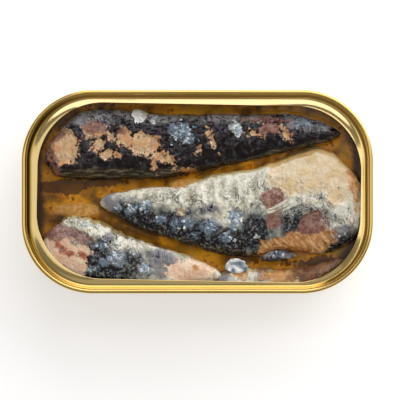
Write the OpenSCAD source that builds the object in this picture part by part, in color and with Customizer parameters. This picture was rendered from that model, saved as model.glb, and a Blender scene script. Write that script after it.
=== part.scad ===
// Opened club-size sardine tin: a drawn body, the ring that is left of its
// easy-open lid, the headless sardines packed in it and the oil round them.
// Millimetres. +Z up, X along the tin; the origin is at the middle of its foot.

/* [Tin] */
// Length over the seam
tin_length = 105; // [85:1:150]
// Width over the seam
tin_width = 60.8; // [50:0.1:90]
// Height from the foot to the top of the seam
tin_height = 28; // [22:0.5:60]
// Corner radius of the seam, seen from above
corner_radius = 21.2; // [12:0.1:24]
// Sheet thickness of the drawn body
body_sheet = 0.22; // [0.15:0.01:0.4]
// Radius between the body's wall and its foot
foot_radius = 1.8; // [1:0.1:3]
// Width of the flat foot that the tin stands on
foot_width = 1.6; // [1:0.1:3]
// Height of the base panel above the foot
base_recess = 0.8; // [0.3:0.1:1.5]

/* [Seam and lid ring] */
// Thickness of the double seam, seen from above
seam_width = 1.35; // [1:0.05:1.8]
// Height of the double seam
seam_height = 3; // [2.4:0.1:3.5]
// How far the seam stands out past the body's wall
seam_overhang = 0.9; // [0.6:0.05:1]
// Sheet thickness of the lid
lid_sheet = 0.22; // [0.15:0.01:0.4]
// Depth of the flat part of the ledge below the top of the seam
countersink_depth = 4.2; // [3.6:0.1:5]
// How far the chuck wall leans inwards on its way down
chuck_run = 0.5; // [0.2:0.05:0.9]
// Radius between the chuck wall and the ledge
countersink_radius = 0.6; // [0.3:0.05:0.8]
// How far the ledge climbs from that radius towards the torn edge
ledge_rise = 0.3; // [0:0.05:0.5]
// Width of the climbing part of the ledge
ledge_run = 1.8; // [1:0.1:2.4]
// Distance from the seam's ends to the torn edge
opening_end_margin = 4; // [3.8:0.1:7]
// Distance from the seam's sides to the torn edge
opening_side_margin = 3.95; // [3.8:0.05:6]
// How much tighter the opening's corners are than the seam's
opening_corner_ease = 1.6; // [0.5:0.1:3]
// Turn of the opening in the rim, in degrees
opening_turn = -1.1; // [-1.5:0.1:1.5]
// How far the opening's middle lies off the tin's, along it
opening_shift_x = 0.5; // [-0.5:0.05:0.5]
// How far the opening's middle lies off the tin's, across it
opening_shift_y = -0.2; // [-0.3:0.05:0.3]

/* [Filling] */
// Oil level below the ledge
oil_drop = 2.6; // [1.5:0.1:6]
// Height of the fish crests below the ledge
crest_drop = 0.1; // [0:0.05:0.5]
// Gap between the fish and the tin
fish_gap = 0.3; // [0.1:0.1:1]
// Thickness of a whole sardine lying on its side
fish_thickness = 12.5; // [9:0.5:15]
// Half width of the back sardine at its fullest
back_half = 10.4; // [8:0.1:12]
// Half width of the middle sardine at its fullest
middle_half = 16.2; // [12:0.1:18]
// Half width of the front sardine at its fullest
front_half = 10.2; // [8:0.1:12]
// Half width of what shows of the lower sardine
lower_half = 3.5; // [2.5:0.1:4]
// Length of the broken piece between the sardines
broken_length = 11.4; // [8:0.1:14]
// Half width of that broken piece
broken_half = 1.9; // [1.2:0.1:2.2]
// Length of the loose flake of skin
flake_length = 7; // [4:0.1:8]
// Half width of that flake
flake_half = 2.1; // [1.2:0.1:2.5]

/* [Hidden] */
$fn = 96;

// Levels
ledge_top = tin_height - countersink_depth;
ledge_under = ledge_top - lid_sheet;
oil_level = ledge_top - oil_drop;
crest = ledge_top - crest_drop;
body_top = tin_height - seam_height;
floor_top = base_recess + body_sheet;

// Plan of the inside of the body
inner_length = tin_length - 2 * (seam_overhang + body_sheet);
inner_width = tin_width - 2 * (seam_overhang + body_sheet);
inner_radius = corner_radius - seam_overhang - body_sheet;

// Inner end of the flat foot, and where the base panel starts, both counted
// inwards from the seam's outer line
foot_end = seam_overhang + foot_radius + foot_width;
panel_start = foot_end + base_recess;
// How far a swept strip runs on into the flat sheet that it joins
overlap = 1;
// How far the ledge's strip is drawn inwards before the opening is cut
ledge_reach = 9;
// Rounding of the seam's lower lip
lip_radius = 0.35;
arc_steps = 8;

// Points on an arc from angle a0 to a1
function arc(centre, radius, a0, a1, steps = arc_steps) = [
    for (i = [0 : steps])
        let (a = a0 + (a1 - a0) * i / steps) centre + radius * [cos(a), sin(a)]
];

// ---- Sweeping a profile round the tin -------------------------------------

// A rounded rectangle, centred, of true arcs
module rounded_plan(length, width, radius) {
    square([length - 2 * radius, width], center = true);
    square([length, width - 2 * radius], center = true);
    for (sx = [-1, 1], sy = [-1, 1])
        translate([sx * (length / 2 - radius), sy * (width / 2 - radius)])
            circle(radius);
}

// One straight side: the profile's x is the distance inwards from the outer line
module straight_side(run, reach) {
    translate([reach, run / 2, 0])
        rotate([90, 0, 0])
            linear_extrude(height = run)
                mirror([1, 0])
                    children();
}

// Sweeps a profile (x inwards, y up) round the rounded rectangle
module swept_round(length, width, radius) {
    for (side = [0, 180])
        rotate(side) straight_side(width - 2 * radius, length / 2) children();
    for (side = [90, 270])
        rotate(side) straight_side(length - 2 * radius, width / 2) children();
    for (corner = [[1, 1, 0], [-1, 1, 90], [-1, -1, 180], [1, -1, 270]])
        translate([corner.x * (length / 2 - radius), corner.y * (width / 2 - radius), 0])
            rotate(corner.z)
                rotate_extrude(angle = 90)
                    translate([radius, 0])
                        mirror([1, 0])
                            children();
}

// ---- Tin --------------------------------------------------------------------

// Inner face of the foot, from the base panel out and up to the wall
function foot_line() = concat(
    [[panel_start + overlap, floor_top], [panel_start - body_sheet / 2, floor_top]],
    [[foot_end - body_sheet / 2, body_sheet]],
    arc([seam_overhang + foot_radius, foot_radius], foot_radius - body_sheet, 270, 180)
);

// Wall, foot and step of the drawn body, as one bent strip of sheet
module body_profile() {
    outside = concat(
        [[seam_overhang, body_top]],
        arc([seam_overhang + foot_radius, foot_radius], foot_radius, 180, 270),
        [[foot_end, 0], [panel_start, base_recess], [panel_start + overlap, base_recess]]
    );
    polygon(concat(outside, foot_line(), [[seam_overhang + body_sheet, body_top]]));
}

// The flat of the base, between two heights
module base_panel(low, high) {
    translate([0, 0, low])
        linear_extrude(height = high - low)
            rounded_plan(
                tin_length - 2 * panel_start,
                tin_width - 2 * panel_start,
                corner_radius - panel_start
            );
}

module tin_body() {
    color("goldenrod") {
        swept_round(tin_length, tin_width, corner_radius) body_profile();
        base_panel(base_recess, floor_top);
    }
}

// Double seam, chuck wall and ledge: all that is left of the lid
module ring_profile() {
    round_top = seam_width / 2;
    chuck_foot = seam_width + chuck_run;
    root = -countersink_depth - ledge_rise;
    fillet_centre = [chuck_foot + countersink_radius, root + countersink_radius];
    climbed = fillet_centre[0] + ledge_run;
    under_lip = arc([lip_radius, -seam_height + lip_radius], lip_radius, 270, 180, 4);
    top = arc([round_top, -round_top], round_top, 180, 0, 2 * arc_steps);
    fillet = arc(fillet_centre, countersink_radius, 180, 270);
    back = arc(fillet_centre, countersink_radius + lid_sheet, 270, 180);
    polygon([
        for (p = concat(
            under_lip,
            top,
            fillet,
            [[climbed, -countersink_depth], [ledge_reach, -countersink_depth]],
            [[ledge_reach, -countersink_depth - lid_sheet]],
            [[climbed, -countersink_depth - lid_sheet]],
            back,
            [[chuck_foot - lid_sheet, -seam_height]]
        )) p + [0, tin_height]
    ]);
}

module lid_ring() {
    color("gold")
        difference() {
            swept_round(tin_length, tin_width, corner_radius) ring_profile();
            translate([opening_shift_x, opening_shift_y, ledge_under - overlap])
                rotate(opening_turn)
                    linear_extrude(height = lid_sheet + 2 * overlap)
                        rounded_plan(
                            tin_length - 2 * opening_end_margin,
                            tin_width - 2 * opening_side_margin,
                            corner_radius - opening_corner_ease
                        );
        }
}

// ---- Fish -------------------------------------------------------------------

// Sides of a section, and rings along a body
sides = 18;
rings = 18;

// A value out of a short list of even stations, smoothed between them
function station(list, t) =
    let (
        last = len(list) - 1,
        i = min(floor(t * last), last - 1),
        u = t * last - i,
        a = list[max(i - 1, 0)],
        b = list[i],
        c = list[i + 1],
        d = list[min(i + 2, last)]
    )
    b + u * ((c - a) + u * ((2 * a - 5 * b + 4 * c - d) + u * (3 * (b - c) + d - a))) / 2;

// Rounds a body off over the share cap at both of its ends
function rounded_end(t, cap) =
    let (d = min(t, 1 - t, cap) / cap) sqrt(max(0, 1 - pow(1 - d, 2)));

// Signed power, which makes a section fuller than an ellipse
function fuller(v, power) = sign(v) * pow(abs(v), power);

// A body from x = from to x = to. spine lists where its middle lies across the tin,
// as shares of the inside's half width, and width its half widths as shares of half.
// deep is its half thickness and top its crest's height at each of the two ends.
module fish_body(from, to, spine, width, half, deep, top, cap) {
    points = [
        for (i = [0 : rings])
            let (
                t = 0.002 + 0.996 * (1 - cos(180 * i / rings)) / 2,
                round_off = rounded_end(t, cap),
                out = half * station(width, t) * round_off,
                up = deep * min(1, 0.45 + 0.6 * out / half) * round_off,
                middle = top[0] + (top[1] - top[0]) * t - up / max(round_off, 0.4)
            )
            for (k = [0 : sides - 1])
                let (a = 360 * k / sides)
                [
                    from + (to - from) * t,
                    station(spine, t) * inner_width / 2 + out * fuller(cos(a), 0.7),
                    middle + up * fuller(sin(a), 0.65)
                ]
    ];
    skin = [
        for (i = [0 : rings - 1], k = [0 : sides - 1])
            let (n = (k + 1) % sides, a = i * sides, b = a + sides)
            each [[a + k, b + k, b + n], [a + k, b + n, a + n]]
    ];
    ends = [
        [for (k = [0 : sides - 1]) k],
        [for (k = [sides - 1 : -1 : 0]) rings * sides + k]
    ];
    intersection() {
        polyhedron(points, concat(skin, ends));
        fish_room();
    }
}

// The space that the fish may fill
module fish_room() {
    translate([0, 0, floor_top + fish_gap])
        linear_extrude(height = crest - floor_top - fish_gap)
            rounded_plan(
                inner_length - 2 * fish_gap,
                inner_width - 2 * fish_gap,
                inner_radius - fish_gap
            );
}

module back_shape() {
    fish_body(
        -0.891 * inner_length / 2, 0.833 * inner_length / 2,
        [0.37, 0.49, 0.48, 0.475, 0.525, 0.56, 0.62, 0.59],
        [0.56, 1, 0.97, 0.9, 0.765, 0.645, 0.475, 0.14],
        back_half, fish_thickness / 2, [crest, crest - 0.5], 0.05
    );
}

module middle_shape() {
    fish_body(
        -0.568 * inner_length / 2, 0.979 * inner_length / 2,
        [-0.11, -0.165, -0.21, -0.215, -0.22, -0.12, -0.09, -0.135],
        [0.13, 0.36, 0.49, 0.745, 0.8, 0.91, 1, 0.5],
        middle_half, fish_thickness / 2, [crest - 0.7, crest], 0.05
    );
}

module front_shape() {
    fish_body(
        -0.915 * inner_length / 2, 0.14 * inner_length / 2,
        [-0.565, -0.575, -0.645, -0.725, -0.78, -0.825, -0.855],
        [0.44, 1, 0.95, 0.745, 0.58, 0.46, 0.2],
        front_half, fish_thickness / 2, [crest - 0.1, crest - 0.9], 0.07
    );
}

module lower_shape() {
    fish_body(
        0.07 * inner_length / 2, 0.87 * inner_length / 2,
        [-0.9, -0.885, -0.89, -0.87, -0.7],
        [0.55, 0.88, 0.83, 1, 0.45],
        lower_half, fish_thickness / 3, [oil_level + 0.3, oil_level + 0.3], 0.1
    );
}

module broken_shape() {
    middle = 0.477 * inner_length / 2;
    fish_body(
        middle - broken_length / 2, middle + broken_length / 2,
        [-0.68, -0.66, -0.65, -0.655],
        [0.5, 1, 0.95, 0.45],
        broken_half, 1.8, [oil_level + 0.7, oil_level + 0.7], 0.3
    );
}

module flake_shape() {
    middle = 0.224 * inner_length / 2;
    fish_body(
        middle - flake_length / 2, middle + flake_length / 2,
        [-0.735, -0.75, -0.77, -0.8],
        [0.6, 1, 0.9, 0.4],
        flake_half, 0.9, [oil_level + 1, oil_level + 0.7], 0.3
    );
}

module sardine_back() {
    color("midnightblue") back_shape();
}

module sardine_middle() {
    color("silver") difference() {
        middle_shape();
        back_shape();
    }
}

module sardine_front() {
    color("rosybrown") difference() {
        front_shape();
        middle_shape();
    }
}

module sardine_lower() {
    color("tan") difference() {
        lower_shape();
        middle_shape();
        front_shape();
    }
}

module broken_piece() {
    color("slategray") difference() {
        broken_shape();
        middle_shape();
        lower_shape();
    }
}

module skin_flake() {
    color("lightsteelblue") difference() {
        flake_shape();
        middle_shape();
        lower_shape();
        front_shape();
    }
}

// ---- Oil --------------------------------------------------------------------

// Fills the body up to its level, cut round everything that lies in it
module oil() {
    color("darkgoldenrod") difference() {
        union() {
            translate([0, 0, foot_radius])
                linear_extrude(height = oil_level - foot_radius)
                    rounded_plan(inner_length, inner_width, inner_radius);
            swept_round(tin_length, tin_width, corner_radius)
                polygon(concat(foot_line(), [[panel_start + overlap, foot_radius]]));
            base_panel(floor_top, foot_radius);
        }
        back_shape();
        middle_shape();
        front_shape();
        lower_shape();
        broken_shape();
        flake_shape();
    }
}

tin_body();
lid_ring();
sardine_back();
sardine_middle();
sardine_front();
sardine_lower();
broken_piece();
skin_flake();
oil();
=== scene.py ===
"""Looks of an opened tin of sardines in oil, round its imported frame.

Shapes are worked out in millimetres in the tin's own frame (+X along it, +Z up, origin
at the middle of its foot) and turned into metres as each mesh is made.
"""
import math

import bpy
import numpy as np
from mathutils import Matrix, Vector
from mathutils.bvhtree import BVHTree


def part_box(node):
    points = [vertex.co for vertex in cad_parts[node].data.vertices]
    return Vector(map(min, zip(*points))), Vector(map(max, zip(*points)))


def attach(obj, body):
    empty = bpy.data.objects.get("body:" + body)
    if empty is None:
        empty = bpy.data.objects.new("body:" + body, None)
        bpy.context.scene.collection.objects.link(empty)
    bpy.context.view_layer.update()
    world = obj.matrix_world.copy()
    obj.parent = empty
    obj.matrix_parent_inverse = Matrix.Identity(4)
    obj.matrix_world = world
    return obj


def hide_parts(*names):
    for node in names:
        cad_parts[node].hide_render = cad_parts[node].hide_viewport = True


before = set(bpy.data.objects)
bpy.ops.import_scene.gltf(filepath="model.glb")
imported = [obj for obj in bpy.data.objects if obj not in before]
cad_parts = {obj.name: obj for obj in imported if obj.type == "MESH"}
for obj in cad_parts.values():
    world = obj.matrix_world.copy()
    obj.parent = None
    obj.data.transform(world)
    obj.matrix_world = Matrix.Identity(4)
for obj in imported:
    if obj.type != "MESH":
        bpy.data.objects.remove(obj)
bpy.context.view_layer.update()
MM = 0.001


def box_mm(node):
    """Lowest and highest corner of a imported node, in mm."""
    return [np.array(corner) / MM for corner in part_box(node)]


# ---- Sizes, from the frame where it holds them -----------

RING_LOW, RING_HIGH = box_mm("lid_ring")
BODY_LOW, BODY_HIGH = box_mm("tin_body")
OIL_LOW, OIL_HIGH = box_mm("oil")

TIN_LENGTH, TIN_WIDTH = (RING_HIGH - RING_LOW)[:2]
RIM_TOP = RING_HIGH[2]
SEAM_FOOT = BODY_HIGH[2]
OIL_LEVEL = OIL_HIGH[2]
OVERHANG = (TIN_LENGTH - (BODY_HIGH - BODY_LOW)[0]) / 2
SHEET = 0.22
CORNER = 21.2
COUNTERSINK = 4.2
LEDGE = RIM_TOP - COUNTERSINK
LEDGE_RISE = 0.3
LEDGE_RUN = 1.8
CUT_ROUND = 0.06
CUT_DROP = 0.05
SEAM = 1.35
SEAM_DEPTH = 3
SEAM_HEM = 0.35
CHUCK_RUN = 0.5
FILLET = 0.6
CHUCK_FOOT = SEAM + CHUCK_RUN
LEDGE_START = CHUCK_FOOT + FILLET
FOOT_ROUND = 1.8
FOOT_FLAT = 1.6
FOOT_SLOPE = 0.1
RECESS = 0.8
PANEL_RUN = 0.3
PANEL_EASE = 0.05
INSIDE = OVERHANG + SHEET
INSIDE_SIZE = (TIN_LENGTH - 2 * INSIDE, TIN_WIDTH - 2 * INSIDE)

# The opening left by the lid
END_MARGIN = 4.0
SIDE_MARGIN = 3.95
FARTHEST_EDGE = 9.0
OPENING_SIZE = (TIN_LENGTH - 2 * END_MARGIN, TIN_WIDTH - 2 * SIDE_MARGIN)
OPENING_CORNER = CORNER - 1.6
OPENING_TURN = math.radians(-1.1)
OPENING_SHIFT = (0.5, -0.2)


# ---- Noise -----------------------------------------------

LATTICE = np.random.default_rng(11).random((64, 64, 64))


def at_height(flat, height=0.0):
    """Flat points at a height, or each at its own."""
    return np.column_stack([flat, np.broadcast_to(height, len(flat))])


def lumps(points, size, seed=0):
    """Smooth noise from -1 to 1 at points, with lumps about size across."""
    q = points / size + 17.3 + 7.7 * seed
    cell = np.floor(q).astype(int)
    f = q - cell
    f = f * f * (3 - 2 * f)
    total = np.zeros(len(points))
    for corner in np.ndindex(2, 2, 2):
        share = np.prod(np.where(corner, f, 1 - f), axis=1)
        i, j, k = ((cell + corner) % 64).T
        total += share * LATTICE[i, j, k]
    return 2 * total - 1


def rough(points, size, seed):
    """Lumps with two sizes of smaller lumps on them."""
    return sum(lumps(points, size / 2**i, seed + i) / 2**i for i in range(3)) / 1.75


def wander(points, size, first, second):
    """A sideways shift for each point, which takes the evenness out of an outline."""
    return at_height(np.column_stack([rough(points, size, first), rough(points, size, second)]))


def ease(value, low, high):
    """0 below low, 1 above high, and a smooth step between."""
    t = np.clip((value - low) / (high - low), 0, 1)
    return t * t * (3 - 2 * t)


# ---- Meshes ----------------------------------------------

def add_object(name, data):
    """An object in the scene, for a mesh, a light or a camera."""
    thing = bpy.data.objects.new(name, data)
    bpy.context.scene.collection.objects.link(thing)
    return thing


def new_piece(name, vertices, faces, sharp=40):
    """A smooth-shaded object from points in mm, creased where it turns by more than sharp."""
    mesh = bpy.data.meshes.new(name)
    mesh.from_pydata((np.asarray(vertices) * MM).tolist(), [], faces)
    mesh.validate()
    mesh.polygons.foreach_set("use_smooth", [True] * len(mesh.polygons))
    mesh.set_sharp_from_angle(angle=math.radians(sharp))
    return add_object(name, mesh)


def gather(parts):
    """Points and faces of many parts, as those of one mesh."""
    points, faces, start = [], [], 0
    for part, sides in parts:
        points.append(part)
        faces += [[start + i for i in side] for side in sides]
        start += len(part)
    return np.concatenate(points), faces


def finish_piece(piece, slot, material, *nodes):
    """Gives a piece its finish, hangs it under the tin's root, and hides the imported nodes it stands
    in for.
    """
    piece.data.materials.clear()
    piece.data.materials.append(material)
    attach(piece, "root")
    if nodes:
        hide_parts(*nodes)


def set_field(mesh, name, values):
    """Holds a value at each point of a mesh, for its finish to read."""
    mesh.attributes.new(name, "FLOAT", "POINT").data.foreach_set("value", values)


def arc(centre, radius, start, end, steps):
    """Points on an arc, angles in degrees."""
    angles = np.radians(np.linspace(start, end, steps + 1))
    return [(centre[0] + radius * math.cos(a), centre[1] + radius * math.sin(a)) for a in angles]


def path_round(length, width, radius):
    """Points and outward normals once round a rounded rectangle, counter-clockwise."""
    step = 1.0
    half = np.array([length / 2 - radius, width / 2 - radius])
    points, normals = [], []
    for corner, signs in enumerate([(1, 1), (-1, 1), (-1, -1), (1, -1)]):
        centre = half * signs
        for a in np.radians(np.linspace(90 * corner, 90 * corner + 90, 41)):
            out = np.array([math.cos(a), math.sin(a)])
            points.append(centre + radius * out)
            normals.append(out)
        run = 2 * half[corner % 2]
        out = normals[-1]
        along = np.array([-out[1], out[0]])
        start = points[-1]
        for s in np.arange(step, run - step / 2, step):
            points.append(start + along * s)
            normals.append(out)
    return np.array(points), np.array(normals)


def rotate(points, angle):
    """Flat points turned about the origin, by an angle in radians."""
    c, s = math.cos(angle), math.sin(angle)
    x, y = points.T
    return np.column_stack([x * c - y * s, x * s + y * c])


def inside_by(points, length, width, radius):
    """How far points lie inside a centred rounded rectangle, negative outside."""
    q = np.abs(points) - (np.array([length, width]) / 2 - radius)
    outside = np.hypot(*np.maximum(q, 0).T) + np.minimum(q.max(axis=1), 0)
    return radius - outside


def inside_opening(points):
    """How far points lie inside the opening that the lid left."""
    level = rotate(points - np.array(OPENING_SHIFT), -OPENING_TURN)
    return inside_by(level, *OPENING_SIZE, OPENING_CORNER)


def inside_wall(points):
    """How far points lie inside the tin's wall."""
    return inside_by(points, *INSIDE_SIZE, CORNER - INSIDE)


def sweep(name, path, normals, profile, caps=False):
    """Sweeps a profile round a path. profile lists (distance inwards, height), and either
    may be an array with a value for each point of the path."""
    count = len(path)
    rows = []
    for inwards, height in profile:
        flat = path - normals * np.broadcast_to(inwards, count)[:, None]
        rows.append(at_height(flat, height))
    vertices = np.concatenate(rows)
    around = np.arange(count)
    following = (around + 1) % count
    faces = []
    last = len(rows) - 1 if caps else len(rows)
    for row in range(last):
        a, b = row * count, (row + 1) % len(rows) * count
        faces += np.column_stack([a + around, a + following, b + following, b + around]).tolist()
    if caps:
        faces.append(around[::-1].tolist())
        faces.append((last * count + around).tolist())
    return new_piece(name, vertices, faces, sharp=30)


# ---- Shader maths ----------------------------------------

class Value:
    """A node's output, so that an expression on values adds its Math nodes."""

    def __init__(self, finish, socket):
        self.finish, self.socket = finish, socket

    def _maths(self, operation, *terms):
        return self.finish.node("ShaderNodeMath", {"operation": operation}, *terms)

    def __add__(self, other):
        return self._maths("ADD", self, other)

    def __sub__(self, other):
        return self._maths("SUBTRACT", self, other)

    def __rsub__(self, other):
        return self._maths("SUBTRACT", other, self)

    def __mul__(self, other):
        return self._maths("MULTIPLY", self, other)

    def __abs__(self):
        return self._maths("ABSOLUTE", self)

    __radd__ = __add__
    __rmul__ = __mul__

    def least(self, other):
        return self._maths("MINIMUM", self, other)

    def fraction(self):
        return self._maths("FRACT", self)

    def between(self, low, high):
        """0 below low, 1 above high, and a smooth step between."""
        settings = {"interpolation_type": "SMOOTHSTEP"}
        return self.finish.node("ShaderNodeMapRange", settings, self, low, high, 0.0, 1.0)


class Finish:
    """A material, built up node by node."""

    def __init__(self, name, **plain):
        self.material = bpy.data.materials.new(name)
        self.material.use_nodes = True
        self.tree = self.material.node_tree
        self.tree.nodes.clear()
        self.shader = self.tree.nodes.new("ShaderNodeBsdfPrincipled")
        self.output = self.tree.nodes.new("ShaderNodeOutputMaterial")
        self.tree.links.new(self.shader.outputs[0], self.output.inputs["Surface"])
        for socket, value in plain.items():
            self.set(self.shader.inputs[socket.replace("_", " ")], value)
        place = self.tree.nodes.new("ShaderNodeTexCoord").outputs["Object"]
        self.place = self.vector("SCALE", Value(self, place), 1 / MM)

    def set(self, socket, value):
        """Links a socket to a value, or sets it to a number or a colour."""
        if isinstance(value, Value):
            self.tree.links.new(value.socket, socket)
        elif isinstance(value, tuple) and len(value) == 3 and socket.type == "RGBA":
            socket.default_value = (*value, 1.0)
        else:
            socket.default_value = value

    def node(self, kind, settings, *inputs, out=0, **named):
        """Adds a node of a kind: its settings first, then its sockets by order or name."""
        node = self.tree.nodes.new(kind)
        for key, value in settings.items():
            setattr(node, key, value)
        for socket, value in zip([s for s in node.inputs if s.enabled], inputs):
            self.set(socket, value)
        for key, value in named.items():
            self.set(node.inputs[key.replace("_", " ")], value)
        return Value(self, node.outputs[out])

    def vector(self, operation, a, b):
        """Vector Math; SCALE takes a number as b."""
        return self.node("ShaderNodeVectorMath", {"operation": operation}, a, b)

    def stretch(self, scale, place=None):
        """The place in mm, scaled along each axis."""
        return self.vector("MULTIPLY", place or self.place, Vector(scale))

    def noise(self, scale, detail=2.0, place=None, roughness=0.5, warp=0.0):
        """Noise about 0 to 1, with scale lumps to the millimetre."""
        return self.node(
            "ShaderNodeTexNoise", {}, Vector=place or self.place, Scale=scale,
            Detail=detail, Roughness=roughness, Distortion=warp,
        )

    def field(self, name):
        """A value that the mesh holds at each of its points."""
        return self.node("ShaderNodeAttribute", {"attribute_name": name}, out="Fac")

    def mix(self, below, above, share, blend="MIX"):
        """Colour above over colour below."""
        node = self.tree.nodes.new("ShaderNodeMix")
        node.data_type, node.blend_type, node.clamp_factor = "RGBA", blend, True
        for index, value in ((0, share), (6, below), (7, above)):
            self.set(node.inputs[index], value)
        return Value(self, node.outputs[2])

    def bump(self, height, distance, strength=1.0):
        """Relief of so many mm for a height from 0 to 1."""
        normal = self.node(
            "ShaderNodeBump", {}, Strength=strength, Distance=distance * MM, Height=height
        )
        self.set(self.shader.inputs["Normal"], normal)

    def use(self, **sockets):
        """Links or sets the shader's sockets."""
        for socket, value in sockets.items():
            self.set(self.shader.inputs[socket.replace("_", " ")], value)
        return self.material


# ---- Finishes --------------------------------------------

GOLD = (0.78, 0.555, 0.20)
GOLD_DEEP = (0.71, 0.49, 0.145)
GOLD_LEDGE_HIGHLIGHT = (0.80, 0.61, 0.27)
GROOVE_SHADE = (0.30, 0.25, 0.10)

SILVER = (0.62, 0.60, 0.47)
SILVER_WHITE = (0.97, 0.94, 0.80)
SILVER_SHADED = (0.20, 0.205, 0.15)
SILVER_DULL = (0.42, 0.45, 0.40)
SILVER_GOLD = (0.66, 0.54, 0.30)
BLACK_SKIN = (0.008, 0.003, 0.004)
NAVY_SKIN = (0.018, 0.012, 0.017)
SLATE = (0.068, 0.068, 0.078)
SLATE_PALE = (0.31, 0.30, 0.315)
BLUE = (0.16, 0.24, 0.31)
BLUE_PALE = (0.44, 0.53, 0.68)
TEAL = (0.09, 0.17, 0.20)
OLIVE = (0.040, 0.031, 0.016)
OLIVE_PALE = (0.26, 0.22, 0.14)
PEACH = (0.78, 0.42, 0.20)
CREAM = (0.97, 0.70, 0.40)
BELLY_FLESH = (0.90, 0.68, 0.38)
BELLY_FLESH_PALE = (1.0, 0.84, 0.58)
PINK_FLESH = (0.93, 0.61, 0.42)
PINK_FLESH_PALE = (1.0, 0.80, 0.59)
BLOOD = (0.66, 0.19, 0.10)
ROSE = (0.40, 0.21, 0.16)
MAUVE = (0.20, 0.080, 0.068)
BRICK = (0.22, 0.075, 0.042)
FIBRE = (0.68, 0.33, 0.12)
FIBRE_PALE = (1.0, 0.64, 0.33)
DUSK = (0.20, 0.215, 0.215)
GLINT = (0.45, 0.54, 0.58)
WHITE_GLINT = (0.90, 0.93, 0.90)
OIL_CLEAR = (0.99, 0.95, 0.80)
OIL_GLOSS = (1.0, 0.98, 0.94)
OIL_STAIN = (0.90, 0.58, 0.08)
AMBER = (0.98, 0.45, 0.014)
AMBER_DARK = (0.20, 0.088, 0.006)
AMBER_PALE = (0.80, 0.45, 0.04)
AMBER_DEEP_SHADE = (0.13, 0.042, 0.003)
UMBER = (0.050, 0.015, 0.002)
TAN = (0.62, 0.34, 0.11)
TAN_PALE = (0.84, 0.54, 0.25)


def gold_lacquer(name):
    """Gold-lacquered tinplate: mirror-like, with faint draw lines and mottle."""
    finish = Finish(name, Metallic=1.0)
    cloud = finish.noise(0.11, 3.0)
    grain = finish.noise(1.7, 4.0)
    lines = finish.noise(2.2, 2.0, finish.stretch((1.0, 1.0, 0.06)))
    colour = finish.mix(GOLD, GOLD_DEEP, cloud * 0.7 + grain * 0.3)
    # Painted highlight: the ledge is paler. Painted shade: the chuck wall is darker, most at one end.
    colour = finish.mix(colour, GOLD_LEDGE_HIGHLIGHT, finish.field("ledge") * (0.8 + cloud * 0.4))
    colour = finish.mix(colour, GROOVE_SHADE, finish.field("groove_shade"), "MULTIPLY")
    finish.bump(grain * 0.5 + lines * 0.5, 0.01, 0.3)
    return finish.use(Base_Color=colour, Roughness=0.06 + grain * 0.06)


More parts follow.
